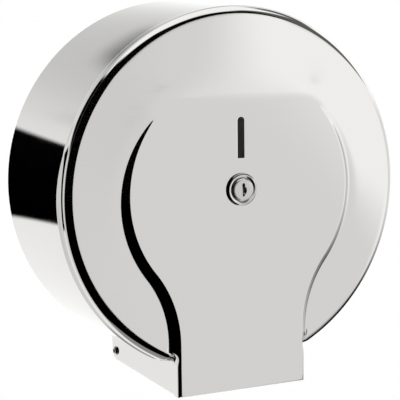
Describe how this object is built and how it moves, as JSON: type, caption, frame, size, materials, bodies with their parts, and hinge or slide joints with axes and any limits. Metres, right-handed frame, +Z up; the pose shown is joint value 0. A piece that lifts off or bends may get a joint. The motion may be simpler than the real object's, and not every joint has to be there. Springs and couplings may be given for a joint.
{
  "type": "jumbo toilet roll dispenser",
  "caption": "Round wall dispenser for a jumbo paper roll: lockable drop-down cover with a raised bulb panel, view slot and paper chute, over a back plate with a turning roll hub.",
  "frame": {"origin": "centre of the four wall screws on the wall plane, on the paper roll's axis", "axes": "+X to the right seen from the front, +Y into the wall along the roll's axis, +Z up"},
  "size_m": [0.2626, 0.1216, 0.2745],
  "materials": {
    "polished_stainless": "bright polished stainless steel",
    "satin_stainless": "satin stainless steel",
    "nickel_zinc": "nickel plated die-cast zinc",
    "white_nylon": "moulded nylon"
  },
  "bodies": {
    "base": {"back_plate": "satin_stainless", "hinge_bracket": "satin_stainless", "bracket_rivets": "satin_stainless", "hinge_pins": "polished_stainless", "hinge_washers": "white_nylon", "spindle_flange": "satin_stainless", "flange_rivets": "satin_stainless", "spindle_post": "satin_stainless", "spindle_end_plug": "satin_stainless", "rear_thrust_washer": "white_nylon", "front_thrust_washer": "white_nylon", "retaining_ring": "nickel_zinc", "striker": "satin_stainless", "striker_screw": "nickel_zinc"},
    "hub": {"roll_hub": "satin_stainless", "hub_plate": "satin_stainless", "rear_bush": "white_nylon", "front_bush": "white_nylon"},
    "cover": {"front_cover": "polished_stainless", "side_band": "polished_stainless", "lock_backing_plate": "satin_stainless", "lock_housing": "nickel_zinc", "lock_washer": "nickel_zinc", "lock_nut": "nickel_zinc", "tear_strip": "satin_stainless"},
    "plug": {"lock_plug": "nickel_zinc", "cam_washer": "satin_stainless", "lock_cam": "satin_stainless", "cam_screw": "nickel_zinc"}
  },
  "joints": [
    {"name": "cover_hinge", "type": "hinge", "parent": "base", "child": "cover", "pos_m": [0, -0.0072, -0.13241], "axis": [1, 0, 0], "range_deg": [0, 85]},
    {"name": "lock_turn", "type": "hinge", "parent": "cover", "child": "plug", "pos_m": [0, -0.11, 0.0021], "axis": [0, 1, 0], "range_deg": [0, 90]},
    {"name": "hub_spin", "type": "hinge", "parent": "base", "child": "hub", "pos_m": [0, -0.0422, 0], "axis": [0, 1, 0], "continuous": true}
  ]
}
